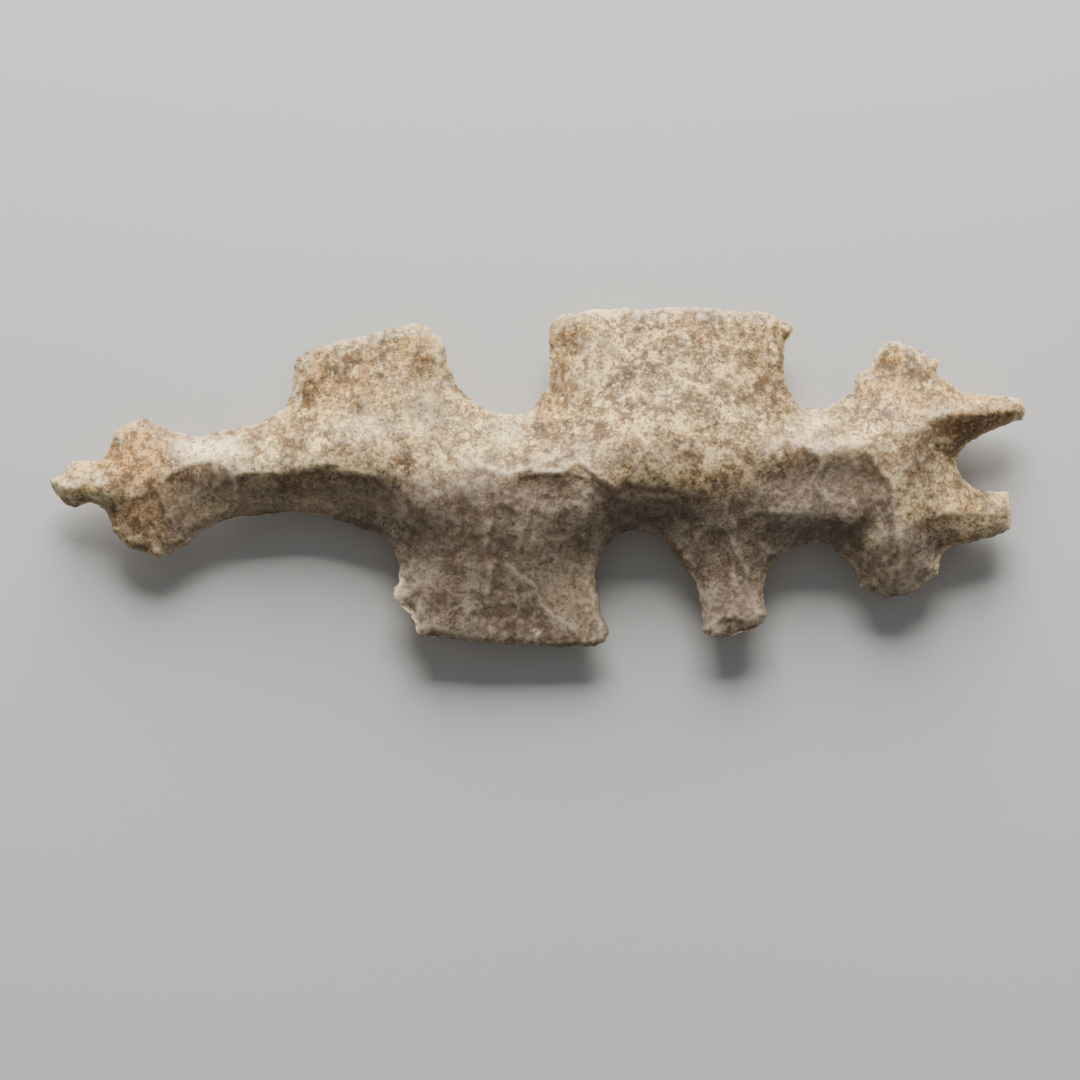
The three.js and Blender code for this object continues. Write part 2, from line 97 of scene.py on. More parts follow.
# Waves that make drawn borders ragged: how far they push, and how wide they are.
LARGE_WAVES = (1 * MM, 9 * MM)
EDGE_WAVES = (0.7 * MM, 5 * MM)
MEDIUM_WAVES = (0.6 * MM, 4 * MM)
ARRIS_WAVES = (0.35 * MM, 3 * MM)
SMALL_WAVES = (0.2 * MM, 2 * MM)
SPOT_WAVES = (0.9 * MM, 2.5 * MM)
SPOT_REACH = 1.5  # half sizes from its centre to where a drawn patch ends

ROUGHNESS = 0.08 * MM  # height of the coarse and of the fine unevenness of a face
ROUGH_FADE = 0.8 * MM  # width of the strip along the edge where it fades out
OUTLINE_BITES = 0.28 * MM  # how far the small chips bite into the outline
OUTLINE_NICKS = 0.16 * MM
OUTLINE_INSET = 0.1 * MM
OUTLINE_SWING = 0.3 * MM  # up and down
RESTING_GRAIN = 0.07 * MM  # where the stone lies on its back

EDGE_STEP = 0.6 * MM  # fine mesh along the outline
FRONT_STEP = 0.56 * MM
BACK_STEP = 0.9 * MM
GRID_JITTER = 0.16  # as a share of the step
GRID_SEED = 7
RINGS = [(0.24 * MM, 0.17 * MM), (0.62 * MM, 0.5 * MM)]  # distance inside the outline, and least clearance
GRID_CLEARANCE = 1 * MM
SHARP_CORNER = math.radians(38)  # a turn of the outline above this stays a corner
INSIDE_ONLY = 1  # the triangulation's kind of result that has no triangles outside the outline
MERGE_DISTANCE = 1e-9
SHEET_BATCH = 4000  # points of the thin sheet worked out at a time
NOISE_CELLS = 255  # after which the noise repeats
NOISE_STRETCH = 1.4  # brings the noise back to about -1 to 1 after its values are averaged

# Crests of the two faces, in squares, with the height as a share of FRONT_HEIGHT or BACK_DEPTH.
FRONT_CRESTS = [
    [(-474, -8, 0.22), (-440, -19, 0.28), (-400, -16, 0.35), (-377, -9, 0.41), (-358, 7, 0.5),
     (-333, 14, 0.56), (-311, 16, 0.6), (-285, 6, 0.64), (-248, 6, 0.7), (-211, 9, 0.75), (-153, 6, 0.81),
     (-106, 6, 0.85), (-70, 12, 0.88), (-20, 8, 0.92), (8, 10, 0.96), (33, 12, 0.98), (66, 0, 0.98),
     (114, -6, 0.97), (165, -10, 0.95), (203, 0, 0.92), (236, 16, 0.9), (262, 28, 0.88), (313, 29, 0.86),
     (340, 10, 0.82), (352, -12, 0.77), (356, -38, 0.7), (358, -70, 0.56), (361, -98, 0.34)],
    [(340, 10, 0.82), (372, 44, 0.68), (396, 62, 0.56), (430, 65, 0.46), (475, 66, 0.32)],
    [(356, -38, 0.7), (400, -37, 0.48), (440, -36, 0.32), (467, -37, 0.24)],
    [(352, -12, 0.77), (376, 0, 0.64), (390, 6, 0.54)],
    [(-110, -30, 0.82), (-50, -33, 0.87), (10, -33, 0.89), (46, -36, 0.84)],
    [(244, 2, 0.76), (262, -2, 0.74), (284, 0, 0.74), (314, -3, 0.73)],
    [(203, -33, 0.68), (248, -35, 0.63), (290, -38, 0.6), (320, -48, 0.56)],
]
BACK_CRESTS = [
    [(-470, -6, 0.28), (-400, -8, 0.5), (-330, 2, 0.6), (-250, 8, 0.74), (-150, 12, 0.9), (-60, 6, 0.97),
     (40, 0, 1), (130, -6, 0.98), (220, -10, 0.92), (300, -4, 0.83), (360, -2, 0.74), (420, -30, 0.52),
     (466, -34, 0.38)],
    [(360, -2, 0.74), (400, 50, 0.57), (470, 66, 0.33)],
]
CREST_STEP = 6 * MM  # between the crest points that hold the sheet
RIM_STEP = 4 * MM

# Flake scars: centre, heading in degrees, half length and half width in squares, and depth in millimetres.
FRONT_SCARS = [
    (-462, -16, 90, 12, 26, 0.6),  # mouth
    (-436, 16, -90, 12, 20, 0.4),  # bridge of the snout
    (-392, -48, 70, 36, 30, 0.8),  # jaw
    (-352, -60, 80, 26, 22, 0.6),  # chin
    (-402, 36, 30, 22, 16, 0.5),  # brow
    (-334, -28, 90, 47, 42, 1.5),  # neck, front
    (-222, -28, 90, 38, 88, 1.4),  # neck, rear
    (-190, 80, -85, 66, 52, 0.5),  # hump
    (-100, 70, -75, 70, 34, 0.5),  # hump, rear
    (-32, 36, -95, 36, 35, 1),  # saddle
    (-98, -86, 82, 70, 50, 0.4),  # fore leg, front
    (-32, -78, 85, 60, 26, 0.35),  # fore leg, middle
    (20, -112, 125, 50, 48, 0.7),  # fore leg, rear
    (-22, -149, 90, 24, 66, 0.5),  # fore foot
    (-128, -136, 152, 12, 34, 0.7),  # toe
    (14, -16, 92, 20, 56, 1),  # step below the arched crest
    (62, -34, 50, 28, 44, 0.7),  # beside the arched crest
    (112, -44, 86, 24, 56, 1),  # above the leg arch
    (84, 96, -92, 80, 66, 0.5),  # block, front
    (196, 90, -86, 84, 56, 0.6),  # block, rear
    (250, 10, 76, 26, 30, 0.6),  # scallop behind the block
    (314, 4, 92, 36, 32, 0.6),  # scallop before the tail
    (172, -98, 80, 62, 26, 0.9),  # hind leg, front
    (214, -96, 100, 58, 22, 0.7),  # hind leg, rear
    (194, -152, 90, 12, 34, 0.8),  # hind foot
    (268, -60, 90, 21, 60, 1),  # above the rear arch
    (322, -84, 100, 42, 30, 1),  # rear lobe, front
    (380, -80, 78, 42, 26, 0.9),  # rear lobe, rear
    (366, 96, -75, 44, 32, 0.6),  # upper lobe
    (298, 56, -60, 34, 30, 0.5),  # rear notch
    (434, 50, 92, 16, 44, 0.8),  # upper prong, lower side
    (384, -12, 60, 26, 30, 0.4),  # root of the fork
    (437, -21, -90, 13, 44, 0.5),  # lower prong, upper side
    (428, -51, 90, 15, 48, 0.5),  # lower prong, lower side
]
BACK_SCARS = [
    (-420, -6, 30, 44, 24, 1.2),
    (-330, 22, 80, 40, 44, 1.8),
    (-250, -8, 100, 44, 52, 1.9),
    (-180, 76, 70, 62, 44, 1.8),
    (-104, 84, 110, 66, 34, 1.5),
    (-100, -92, 96, 74, 46, 2),
    (-10, -84, 80, 76, 50, 1.9),
    (62, -96, 70, 60, 26, 1.4),
    (60, 96, 95, 74, 48, 1.9),
    (160, 90, 84, 84, 54, 2),
    (228, 104, 104, 60, 30, 1.5),
    (190, -84, 92, 74, 30, 1.8),
    (290, 24, 60, 48, 40, 1.6),
    (346, -74, 100, 48, 36, 1.7),
    (362, 84, 80, 48, 34, 1.6),
    (428, 50, 5, 52, 17, 1.4),
    (426, -40, 10, 54, 20, 1.4),
]

# Arrises that stand up between the scars of the worked face: height in millimetres, then points in squares.
# Each is steep on the right of its path and falls slowly on the left.
ARRISES = [
    (0.5, [(-390, -19), (-380, -14), (-370, 0), (-360, 6), (-350, 12), (-338, 16), (-313, 16),
           (-304, 8)]),
    (0.6, [(-336, -22), (-318, -9), (-300, 2), (-288, 4), (-248, 4), (-213, 10), (-193, 5), (-146, 0),
           (-120, -6)]),
    (0.5, [(-68, 26), (-52, 10), (-34, 3), (-16, 6), (4, 13), (28, 25), (48, 30)]),
    (0.9, [(30, 13), (42, 14), (50, 8), (58, 2), (65, -5), (74, -9), (86, -13)]),
    (0.7, [(81, -6), (98, -7), (114, -10), (130, -8), (156, -18)]),
    (0.8, [(-34, 0), (-22, 6), (-8, 6), (7, 4), (22, 5), (31, 9), (40, 16)]),
    (0.5, [(-21, -85), (-18, -65), (-12, -51), (-8, -35), (-2, -20)]),
    (0.45, [(-52, -78), (-49, -60), (-45, -40)]),
    (0.6, [(-52, -123), (-48, -103), (-45, -88), (-41, -83)]),
    (0.5, [(39, -154), (28, -146), (16, -138), (8, -130), (1, -118), (-4, -106), (-15, -100),
           (-25, -90), (-42, -83)]),
    (0.3, [(3, -16), (13, -16), (20, -20)]),
    (0.55, [(203, -33), (232, -35), (268, -36), (300, -41), (320, -49)]),
    (0.45, [(246, 30), (261, 29), (276, 22), (281, 15), (271, -4), (264, -10)]),
    (0.6, [(297, 24), (315, 29), (330, 22), (340, 4), (350, -8), (352, -26), (354, -44), (358, -71),
           (361, -95)]),
    (0.5, [(338, 44), (372, 44), (390, 58), (405, 63), (430, 66)]),
    (0.4, [(392, -38), (402, -37), (440, -36), (468, -36)]),
    (0.4, [(176, -46), (187, -52), (200, -45)]),
    (0.4, [(187, -52), (196, -70), (207, -91), (208, -106)]),
    (0.3, [(160, -122), (170, -122), (182, -119)]),
    (0.45, [(-77, 86), (-74, 68), (-71, 53), (-68, 28)]),
    (0.4, [(-302, -22), (-312, -32), (-338, -40)]),
    (0.3, [(-442, -20), (-418, -19), (-398, -20), (-383, -14)]),
]

# Brown stains of the worked face: centre, half width and half height in squares, and strength.
STAINS = [
    (22, 103, 9, 15, 0.9),  # left edge of the block
    (28, 153, 11, 11, 0.45),
    (153, 160, 14, 8, 0.35),
    (-145, 78, 6, 7, 0.7),
    (-165, 80, 7, 5, 0.5),
    (-192, 30, 7, 7, 0.6),
    (-206, 54, 6, 6, 0.5),
    (-172, 111, 6, 5, 0.5),
    (-215, 113, 6, 5, 0.5),
    (-90, 102, 7, 12, 0.55),
    (-62, 22, 8, 6, 0.6),
    (-30, 21, 14, 9, 0.5),
    (232, 92, 14, 16, 0.6),
    (132, 127, 4, 12, 0.35),
    (137, 94, 4, 10, 0.4),
    (-362, -64, 12, 8, 0.5),
    (-27, -149, 12, 6, 0.8),
    (20, -160, 12, 5, 0.7),
    (-104, -152, 16, 7, 0.6),
    (180, -137, 9, 7, 0.7),
    (420, 50, 42, 13, 1.1),  # lower side of the upper prong
    (455, 57, 34, 6, 1.1),
    (-334, -24, 34, 24, 0.35),  # neck
    (-230, -20, 70, 14, 0.5),
    (352, -86, 16, 22, 0.5),  # rear lobe
    (306, -62, 20, 16, 0.5),  # above the rear arch
    (228, 84, 22, 20, 0.4),  # block, beside the rear notch
    (-414, 36, 5, 5, 0.7),
    (-420, 21, 5, 5, 0.7),
    (-108, -60, 24, 30, 0.35),
    (-55, -70, 18, 40, 0.4),
    (258, 19, 14, 10, 0.5),
    (313, 15, 26, 18, 0.3),
    (100, -34, 40, 12, 0.35),
]
# Places along the edge where a fresh chip shows as a pale strip.
EDGE_CHIPS = [
    (-130, -128, 20, 28, 1.5),  # toe
    (472, -33, 8, 24, 0.9),  # end of the lower prong
    (398, -90, 14, 22, 0.9),  # rear lobe
    (-474, -4, 16, 14, 0.8),  # snout
    (482, 62, 10, 16, 0.7),  # upper prong
    (-156, 120, 60, 40, 0.4),  # hump
    (90, 164, 120, 12, 0.5),  # block
    (330, 130, 50, 30, 0.5),  # upper lobe
]
CHIP_WIDTH = 1.6 * MM
CHIP_BORDER = 0.6 * MM  # width of the strip's soft border

# A point's height and that of its surroundings are its height after so many rounds of smoothing.
CREST_ROUNDS = (3, 14)
HOLLOW_ROUNDS = (4, 60)
CREST_HIGHLIGHT_RISE = 0.11 * MM  # a point this far above its surroundings gets the full painted highlight of a crest
CREST_HIGHLIGHT_START = 0.1  # share of that where the painted highlight starts
CREST_EDGE_FADE = 1 * MM  # width of the strip along the edge where the painted crest highlights fade out
HOLLOW_SHADE_DEPTH = 0.3 * MM  # a point this far below its surroundings gets the full painted shade of a hollow, in brown
HOLLOW_EDGE_FADE = 3 * MM
EDGE_HIGHLIGHT_WIDTH = 0.6 * MM  # width of the painted highlight along the outline
EDGE_HIGHLIGHT_SHADE_LOSS = 0.6  # of that highlight that is taken away where the stone is cooler and in painted shade
# The painted highlights on the crests are weaker on the prongs: places along the stone in squares, and the
# share there.
PRONG_PLACES = (395, 420)
PRONG_SHARES = (1, 0.35)
BACK_CONTRAST = 0.3  # of the painted crest highlights and painted hollow shade of the back, against the front's
# Below the crest the stone is cooler and greyer, and darker as painted shade, less so on the head and the
# prongs.
COOL_AND_SHADE_BLEND = 10 * MM  # width of the change
COOL_AND_SHADE_AT_CREST = 0.4  # share of the change that is done at the crest
# Places along the stone in squares, and how strong the cool tone and the painted shade are there.
COOL_AND_SHADE_PLACES = (-400, -345, 390, 430)
COOL_AND_SHADE_SHARES = (0.45, 1, 1, 0.25)
# Areas of cooler, greyer stone above the crest.
COOL_AREAS = [
    (374, 2, 34, 50, 0.55),  # root of the fork
    (252, 30, 60, 14, 0.35),
    (110, 16, 100, 18, 0.45),
    (-150, 22, 60, 10, 0.3),
    (210, 80, 30, 40, 0.2),
]
# Large areas of warmer, yellower stone; the two on the neck are also partly painted light over the shade
# below its crest.
TAN_AREAS = [
    (-402, 26, 54, 38, 1.4),  # head
    (-392, -40, 34, 22, 0.7),
    (-450, 0, 24, 14, 0.5),
    (-118, 128, 26, 32, 1.1),  # top of the hump
    (-190, 100, 50, 34, 0.8),
    (30, 150, 22, 24, 0.7),  # block
    (152, 160, 34, 16, 0.6),
    (20, 90, 16, 40, 0.5),
    (352, 118, 50, 32, 1.4),  # upper lobe
    (420, 80, 60, 18, 1.4),
    (445, -30, 36, 18, 0.7),  # lower prong
    (-336, -24, 36, 20, 0.4),  # neck
    (-240, -22, 76, 14, 0.35),
    (270, 44, 40, 14, 0.4),
]
# Pale smooth places and fresh chips. The rows on the lower prong's lower side and the neck scars are painted
# light over the shade below the crests.
PALE_PATCHES = [
    (-328, 29, 30, 10, 1.1),  # top of the neck
    (-240, 88, 5, 14, 0.8),
    (-470, -9, 8, 5, 0.8),
    (-30, 46, 14, 14, 0.5),
    (-110, 70, 18, 30, 0.3),
    (-170, 50, 30, 14, 0.35),
    (275, 55, 22, 9, 0.5),
    (0, -60, 16, 20, 0.25),
    (38, -110, 26, 40, 0.22),
    (335, -58, 10, 12, 0.5),
    (394, -86, 6, 12, 0.4),
    (0, -155, 3, 3, 0.8),
    (380, -108, 14, 5, 0.5),
    (60, 130, 20, 14, 0.3),
    (50, 98, 14, 10, 0.35),
    (444, -46, 40, 9, 0.6),  # lower side of the lower prong
    (-322, -28, 30, 18, 0.3),  # neck scars
    (-235, -26, 70, 10, 0.25),
]


def place(x, y):
    """A place on the drawing, in squares, as metres in the frame."""
    return x * SQUARE, y * SQUARE + SQUARE_SHIFT_Y


def rim_loop():
    """The solid's outline, where its two faces meet, as a closed loop of points from the snout's tip."""
    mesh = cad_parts[NODE].data
    mesh.calc_loop_triangles()
    # Corners are told apart by their places, so these are rounded.
    corners = [tuple(round(c, 6) for c in vertex.co) for vertex in mesh.vertices]
    sides = set()
    for triangle in mesh.loop_triangles:
        if triangle.normal.z > 0:
            a, b, c = (corners[i] for i in triangle.vertices)
            sides |= {(a, b), (b, c), (c, a)}
    following = {a: b for a, b in sides if (b, a) not in sides}
    loop = [min(following)]
    while following[loop[-1]] != loop[0]:
        loop.append(following[loop[-1]])
    return np.array(loop)


def smooth_loop(loop, step):
    """The closed loop as a smooth curve through its points, in even steps. A sharp corner stays a corner."""
    arriving = loop - np.roll(loop, 1, axis=0)
    leaving = np.roll(loop, -1, axis=0) - loop
    lengths = np.linalg.norm(arriving[:, :2], axis=1) * np.linalg.norm(leaving[:, :2], axis=1)
    turn = (arriving[:, :2] * leaving[:, :2]).sum(1) / lengths
    corner = (turn < math.cos(SHARP_CORNER))[:, None]
    middle = (arriving + leaving) / 2
    out_of = np.where(corner, leaving, middle)
    into = np.roll(np.where(corner, arriving, middle), -1, axis=0)
    points = []
    for i, start in enumerate(loop):
        end = start + leaving[i]
        count = max(1, round(float(np.linalg.norm(leaving[i])) / step))
        t = (np.arange(count) / count)[:, None]
        points.append(
            (2 * t**3 - 3 * t**2 + 1) * start + (t**3 - 2 * t**2 + t) * out_of[i]
            + (3 * t**2 - 2 * t**3) * end + (t**3 - t**2) * into[i]
        )
    return np.concatenate(points)


def outwards(loop):
    """Unit vectors in the plane that point out of the closed loop."""
    along = np.roll(loop, -2, axis=0)[:, :2] - np.roll(loop, 2, axis=0)[:, :2]
    return np.column_stack([along[:, 1], -along[:, 0]]) / np.linalg.norm(along, axis=1)[:, None]


def lattice_noise(xy, cell, seed):
    """Smooth noise from about -1 to 1, with features about one cell wide."""
    grid = np.random.default_rng(seed).uniform(-1, 1, (NOISE_CELLS + 1, NOISE_CELLS + 1))
    u = xy / cell + NOISE_CELLS / 2
    low = np.floor(u).astype(int)
    t = u - low
    t = t * t * t * (t * (6 * t - 15) + 10)
    i, j = low[:, 0] % NOISE_CELLS, low[:, 1] % NOISE_CELLS
    near = grid[i, j] * (1 - t[:, 0]) + grid[i + 1, j] * t[:, 0]
    far = grid[i, j + 1] * (1 - t[:, 0]) + grid[i + 1, j + 1] * t[:, 0]
    return NOISE_STRETCH * (near * (1 - t[:, 1]) + far * t[:, 1])


def layered_noise(xy, cell, seed, layers=3):
    """Noise in layers, each with cells half as wide and waves half as high as the one before."""
    total = sum(lattice_noise(xy, cell / 2**k, seed + k) / 2**k for k in range(layers))
    return total / (2 - 0.5 ** (layers - 1))


def wave(xy, amount, cell, seed):
    """A small sideways push at each point, so that drawn shapes get wavy borders."""
    return xy + amount * np.column_stack([layered_noise(xy, cell, seed), layered_noise(xy, cell, seed + 20)])


def bend(xy, held):
    """For each point, how much each of the held points lifts it: r squared times the logarithm of r."""
    squared = np.maximum(((xy[:, None, :] - held) ** 2).sum(2), 1e-12)
    return 0.5 * squared * np.log(squared)


def thin_sheet(xy, held, heights):
    """The height at each point of a thin springy sheet that passes through the held points."""
    scale = LENGTH / 2
    xy, held = xy / scale, held / scale
    plane = np.column_stack([np.ones(len(held)), held])
    system = np.block([[bend(held, held), plane], [plane.T, np.zeros((3, 3))]])
    weights = np.linalg.solve(system, np.concatenate([heights, np.zeros(3)]))
    made = np.empty(len(xy))
    for i in range(0, len(xy), SHEET_BATCH):
        part = xy[i:i + SHEET_BATCH]
        made[i:i + SHEET_BATCH] = bend(part, held) @ weights[:-3] + weights[-3] + part @ weights[-2:]
    return made


def crest_points(crests):
    """Points along the crests in even steps, with their height shares. A shared point is kept once."""
    points = []
    for crest in crests:
        for (ax, ay, a), (bx, by, b) in zip(crest, crest[1:]):
            count = max(1, round(math.dist((ax, ay), (bx, by)) * SQUARE / CREST_STEP))
            for k in range(count):
                share = k / count
                points.append((*place(ax + (bx - ax) * share, ay + (by - ay) * share), a + (b - a) * share))
        points.append((*place(*crest[-1][:2]), crest[-1][2]))
    return np.unique(np.array(points).round(5), axis=0)


def nearest_distance(xy, targets):
    """Distance of each point from the nearest of the targets."""
    tree = kdtree.KDTree(len(targets))
    for i, (x, y) in enumerate(targets.tolist()):
        tree.insert((x, y, 0), i)
    tree.balance()
    return np.array([tree.find((x, y, 0))[2] for x, y in xy.tolist()])


def named_scars(rows):
    """Scars as rows of x, y, heading in radians, half length, half width and depth."""
    return [
        (*place(x, y), math.radians(heading), length * SQUARE, width * SQUARE, depth * MM)
        for x, y, heading, length, width, depth in rows
    ]


def edge_scars(spacing, half_length, depth, seed):
    """Scars struck inwards from the edge, all the way round."""
    rng = np.random.default_rng(seed)
    out = outwards(rim)
    scars = []
    at = 0.0
    while at < len(rim):
        i = int(at)
        heading = math.atan2(-out[i, 1], -out[i, 0]) + rng.uniform(-EDGE_SCAR_TURN, EDGE_SCAR_TURN)
        length = half_length * rng.uniform(*EDGE_SCAR_LENGTHS)
        width = spacing * rng.uniform(*EDGE_SCAR_WIDTHS)
        x = rim[i, 0] + math.cos(heading) * length * EDGE_SCAR_INSET
        y = rim[i, 1] + math.sin(heading) * length * EDGE_SCAR_INSET
        scars.append((x, y, heading, length, width, depth * rng.uniform(*EDGE_SCAR_DEPTHS)))
        at += spacing / EDGE_STEP * rng.uniform(*EDGE_SCAR_GAPS)
    return scars


def scattered_scars(count, half_length, depth, seed):
    """Small scars at random places in the box around the outline."""
    rng = np.random.default_rng(seed)
    low, high = rim[:, :2].min(0), rim[:, :2].max(0)
    scars = []
    for x, y in rng.uniform(low, high, (count, 2)):
        length = half_length * rng.uniform(*SCATTERED_LENGTHS)
        width = length * rng.uniform(*SCATTERED_WIDTHS)
        heading = rng.uniform(0, math.pi)
        scars.append((x, y, heading, length, width, depth * rng.uniform(*SCATTERED_DEPTHS)))
    return scars


def scar_depth(xy, scars):
    """How deep the deepest scar is at each point. Each scar is a shallow dish."""
    depth = np.zeros(len(xy))
    for x, y, heading, length, width, deepest in scars:
        reach = max(length, width)
        near = np.flatnonzero((np.abs(xy[:, 0] - x) < reach) & (np.abs(xy[:, 1] - y) < reach))
        dx, dy = xy[near, 0] - x, xy[near, 1] - y
        along = (dx * math.cos(heading) + dy * math.sin(heading)) / length
        across = (-dx * math.sin(heading) + dy * math.cos(heading)) / width
        dish = np.maximum(1 - along**2 - across**2, 0)
        depth[near] = np.maximum(depth[near], deepest * dish * (1 + SCAR_SKEW * along))
    return depth


def arris_heights(xy, arrises):
    """At each point: the arrises' height, their painted highlight line, and the painted shadow line on their
    steep side.
    """
    height, arris_highlight_line, arris_shadow_line = np.zeros((3, len(xy)))
    for top, squares in arrises:
        path = np.array([place(x, y) for x, y in squares])
        low, high = path.min(0) - ARRIS_REACH, path.max(0) + ARRIS_REACH
        near = np.flatnonzero(((xy > low) & (xy < high)).all(1))
        lengths = np.linalg.norm(np.diff(path, axis=0), axis=1)
        done = np.concatenate([[0], np.cumsum(lengths)]) / lengths.sum()
        closest = np.full(len(near), np.inf)
        travelled, side = np.zeros((2, len(near)))
        for i, (a, b) in enumerate(zip(path, path[1:])):
            offset = xy[near] - a
            share = np.clip(offset @ (b - a) / lengths[i] ** 2, 0, 1)
            away = np.linalg.norm(offset - share[:, None] * (b - a), axis=1)
            closer = away < closest
            closest[closer] = away[closer]
            travelled[closer] = (done[i] + share * (done[i + 1] - done[i]))[closer]
            side[closer] = ((b - a)[0] * offset[:, 1] - (b - a)[1] * offset[:, 0])[closer]
        width = np.where(side > 0, ARRIS_SLOW_SIDE, ARRIS_STEEP_SIDE)
        from_end = np.minimum(travelled, 1 - travelled)
        strength = np.clip(from_end * ARRIS_END_RISE + ARRIS_END_STRENGTH, 0, 1)
        height[near] += top * MM * strength * np.exp(-closest / width)
        bold = strength * min(1, top * ARRIS_LIGHT_AND_SHADE_BOLDNESS)
        # Painted highlight along the arris line.
        arris_highlight_line[near] = np.maximum(arris_highlight_line[near], bold * np.exp(-closest / ARRIS_HIGHLIGHT_WIDTH))
        # Painted shadow line on the steep side, a little away from the arris.
        fall = np.where(side > 0, 0, np.exp(-((closest - SHADOW_LINE_AWAY) / SHADOW_LINE_WIDTH) ** 2))
        arris_shadow_line[near] = np.maximum(arris_shadow_line[near], bold * fall)
    return height, arris_highlight_line, arris_shadow_line


def spots(xy, rows, seed):
    """How strongly the drawn patches cover each point, from 0 to their own strength, with ragged borders."""
    covered = np.zeros(len(xy))
    ragged = wave(xy, *SPOT_WAVES, seed)
    for x, y, half_width, half_height, strength in rows:
        offset = (ragged - place(x, y)) / (half_width * SQUARE, half_height * SQUARE)
        away = np.hypot(offset[:, 0], offset[:, 1])
        covered = np.maximum(covered, strength * np.clip(SPOT_REACH - away, 0, 1))
    return covered


def inside(points, loop):
    """Which points lie inside the closed loop."""
    found = np.zeros(len(points), bool)
    for (ax, ay), (bx, by) in zip(loop, np.roll(loop, -1, axis=0)):
        crossed = np.flatnonzero((ay > points[:, 1]) != (by > points[:, 1]))
        if len(crossed):
            at = ax + (points[crossed, 1] - ay) / (by - ay) * (bx - ax)
            found[crossed] ^= points[crossed, 0] < at
    return found


def face_points(step):
    """Points of one face in the plane: the outline, two rings close inside it, and a grid with a jitter."""
    loop = rim[:, :2]
    out = outwards(rim)
    low, high = loop.min(0), loop.max(0)
    rows = np.arange(low[1], high[1], step * math.sqrt(3) / 2)
    columns = np.arange(low[0], high[0], step)
    grid = np.array([(x + (k % 2) * step / 2, y) for k, y in enumerate(rows) for x in columns])
    grid += np.random.default_rng(GRID_SEED).uniform(-GRID_JITTER, GRID_JITTER, grid.shape) * step
    kept = [loop]
    rings = [(loop - out * inset, clearance) for inset, clearance in RINGS]
    for points, clearance in [*rings, (grid, GRID_CLEARANCE)]:
        points = points[inside(points, loop)]
        kept.append(points[nearest_distance(points, loop) > clearance])
    return np.concatenate(kept)


def triangulate(points):
    """Triangles between the points, inside the closed outline that the first of them make."""
    count = len(rim)
    edges = [(i, (i + 1) % count) for i in range(count)]
    corners = [Vector(point) for point in points.tolist()]
    made = geometry.delaunay_2d_cdt(corners, edges, [], INSIDE_ONLY, MERGE_DISTANCE)
    if any(len(original) != 1 for original in made[3]):
        raise RuntimeError("the triangulation merged or added points")
    order = np.array([original[0] for original in made[3]])
    return order[np.array(made[2])]


def smoothed(values, triangles, rounds):
    """Values at the points, averaged with their neighbours so many times over."""
    pairs = np.concatenate([triangles[:, [0, 1]], triangles[:, [1, 2]], triangles[:, [2, 0]]])
    count = np.bincount(pairs[:, 0], minlength=len(values))
    for _ in range(rounds):
        total = np.bincount(pairs[:, 0], values[pairs[:, 1]], minlength=len(values))
        values = (values + total / np.maximum(count, 1)) / 2
    return values


def build_face(step, crests, full_height, side, scars, arrises, seed):
    """One face, with the painted highlight along its arrises and the painted shadow line beside them. Side is
    1 up and -1 down.
    """
    xy = face_points(step)
    triangles = triangulate(xy)
    from_edge = nearest_distance(xy, rim[:, :2])
    from_edge[:len(rim)] = 0
    bevel = EDGE_BEVEL * (1 - np.exp(-from_edge / EDGE_BEVEL_WIDTH))
    crest = crest_points(crests)
    edge = rim[::round(RIM_STEP / EDGE_STEP)]
    crest_level = middle + side * (crest[:, 2] * full_height - EDGE_BEVEL)
    held = np.concatenate([crest[:, :2], edge[:, :2]])
    sheet = thin_sheet(xy, held, np.concatenate([crest_level, edge[:, 2]]))
    whole = np.maximum(side * (sheet - middle) + bevel, LEAST_HEIGHT)

    large = scar_depth(wave(xy, *LARGE_WAVES, seed), named_scars(scars))
    edges = scar_depth(wave(xy, *EDGE_WAVES, seed + 2), edge_scars(*EDGE_SCARS, seed + 1))
    medium = scar_depth(wave(xy, *MEDIUM_WAVES, seed + 4), scattered_scars(*MEDIUM_SCARS, seed + 3))
    nibbles = scar_depth(wave(xy, *SMALL_WAVES, seed + 6), edge_scars(*EDGE_NIBBLES, seed + 5))
    small = scar_depth(wave(xy, *SMALL_WAVES, seed + 8), scattered_scars(*SMALL_SCARS, seed + 7))
    carved = np.maximum(large, edges) + MEDIUM_SHARE * medium + nibbles + small
    carved = np.minimum(carved, DEEPEST_SHARE * whole)

    fade = 1 - np.exp(-from_edge / ROUGH_FADE)
    fine = layered_noise(xy, cell=2.2 * MM, seed=seed + 9)
    coarse = layered_noise(xy, cell=9 * MM, seed=seed + 12, layers=2)
    ridges, arris_highlight_line, arris_shadow_line = arris_heights(wave(xy, *ARRIS_WAVES, seed + 15), arrises)
    z = sheet + side * (bevel - carved + (ROUGHNESS * (fine + coarse) + ridges) * fade)
    z[:len(rim)] = rim[:, 2]
    return np.column_stack([xy, z]), triangles, arris_highlight_line, arris_shadow_line


